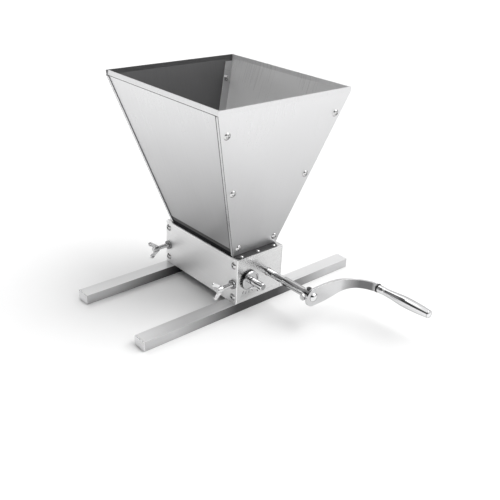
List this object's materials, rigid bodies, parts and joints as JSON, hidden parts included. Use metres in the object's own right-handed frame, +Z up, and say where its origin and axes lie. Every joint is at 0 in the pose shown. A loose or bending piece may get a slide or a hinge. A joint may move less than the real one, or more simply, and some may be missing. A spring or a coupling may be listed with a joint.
{
  "type": "two-roller grain mill",
  "caption": "Hand-cranked two-roller grain mill: sheet-metal hopper over a plate housing with eccentric gap dials, on two bars that lie across a bucket.",
  "frame": {"origin": "on the plane midway between the two roller axes, halfway along the rollers, level with the underside of the two bars", "axes": "+X along the rollers towards the crank, +Y along the bars towards the drive roller's side, +Z up into the hopper"},
  "size_m": [0.3833, 0.356, 0.2836],
  "materials": {
    "hopper_sheet": "brushed stainless sheet, grain across the panel",
    "plate_steel": "satin stainless plate",
    "bar_steel": "bright satin tube, grain along the bar",
    "roller_steel": "ground steel",
    "plated_steel": "bright plated, slightly worn",
    "fasteners": "zinc-plated screws",
    "bush_bronze": "dull sintered bronze",
    "black_screw": "black oxide",
    "black_ring": "matt black"
  },
  "bodies": {
    "frame": {"bar_front": "bar_steel", "bar_rear": "bar_steel", "bar_caps": "bar_steel", "bar_screws": "fasteners", "end_plate_front": "plate_steel", "end_plate_rear": "plate_steel", "side_plate_left": "plate_steel", "side_plate_right": "plate_steel", "side_plate_screws": "fasteners", "shaft_bushes": "bush_bronze", "hopper_end_front": "hopper_sheet", "hopper_end_rear": "hopper_sheet", "hopper_side_left": "hopper_sheet", "hopper_side_right": "hopper_sheet", "hopper_panel_screws": "fasteners", "hopper_panel_nuts": "fasteners", "hopper_flange_screws": "fasteners", "wing_bolt_collars": "plated_steel"},
    "crank": {"drive_roller": "roller_steel", "crank_sleeve": "plated_steel", "crank_arm": "plated_steel", "crank_set_screw": "black_screw", "crank_end_screw": "plated_steel", "grip_spindle": "roller_steel", "grip_ring": "black_ring", "grip_end_cap": "plated_steel"},
    "grip": {"grip_ferrule": "plated_steel", "grip_body": "plated_steel"},
    "thumb_screw": {"crank_thumb_screw": "plated_steel"},
    "eccentric_front": {"eccentric_front": "plate_steel"},
    "eccentric_rear": {"eccentric_rear": "plate_steel"},
    "idler_roller": {"idler_roller": "roller_steel"},
    "wing_bolt_front": {"wing_bolt_front": "plated_steel"},
    "wing_bolt_rear": {"wing_bolt_rear": "plated_steel"}
  },
  "joints": [
    {"name": "crank_spin", "type": "hinge", "parent": "frame", "child": "crank", "pos_m": [0, 0.0166, 0.0438], "axis": [1, 0, 0], "continuous": true},
    {"name": "grip_spin", "type": "hinge", "parent": "crank", "child": "grip", "pos_m": [0.23, 0.1, 0.0438], "axis": [1, 0, 0], "continuous": true},
    {"name": "thumb_screw_turn", "type": "hinge", "parent": "crank", "child": "thumb_screw", "pos_m": [0.1503, 0.0166, 0.0438], "axis": [0, -1, 0], "range_deg": [0, 720]},
    {"name": "gap_adjust_front", "type": "hinge", "parent": "frame", "child": "eccentric_front", "pos_m": [0.0762, -0.01655, 0.0428], "axis": [1, 0, 0], "range_deg": [-85, 85]},
    {"name": "gap_adjust_rear", "type": "hinge", "parent": "frame", "child": "eccentric_rear", "pos_m": [-0.0762, -0.01655, 0.0428], "axis": [1, 0, 0], "range_deg": [-85, 85]},
    {"name": "idler_roller_spin", "type": "hinge", "parent": "eccentric_front", "child": "idler_roller", "pos_m": [0, -0.01655, 0.0438], "axis": [1, 0, 0], "continuous": true},
    {"name": "wing_bolt_front_turn", "type": "hinge", "parent": "frame", "child": "wing_bolt_front", "pos_m": [0.06985, -0.05, 0.0405], "axis": [0, -1, 0], "range_deg": [0, 720]},
    {"name": "wing_bolt_rear_turn", "type": "hinge", "parent": "frame", "child": "wing_bolt_rear", "pos_m": [-0.06985, -0.05, 0.0405], "axis": [0, -1, 0], "range_deg": [0, 720]}
  ],
  "couplings": [
    {"joint": "gap_adjust_rear", "follows": "gap_adjust_front", "ratio": 1}
  ]
}
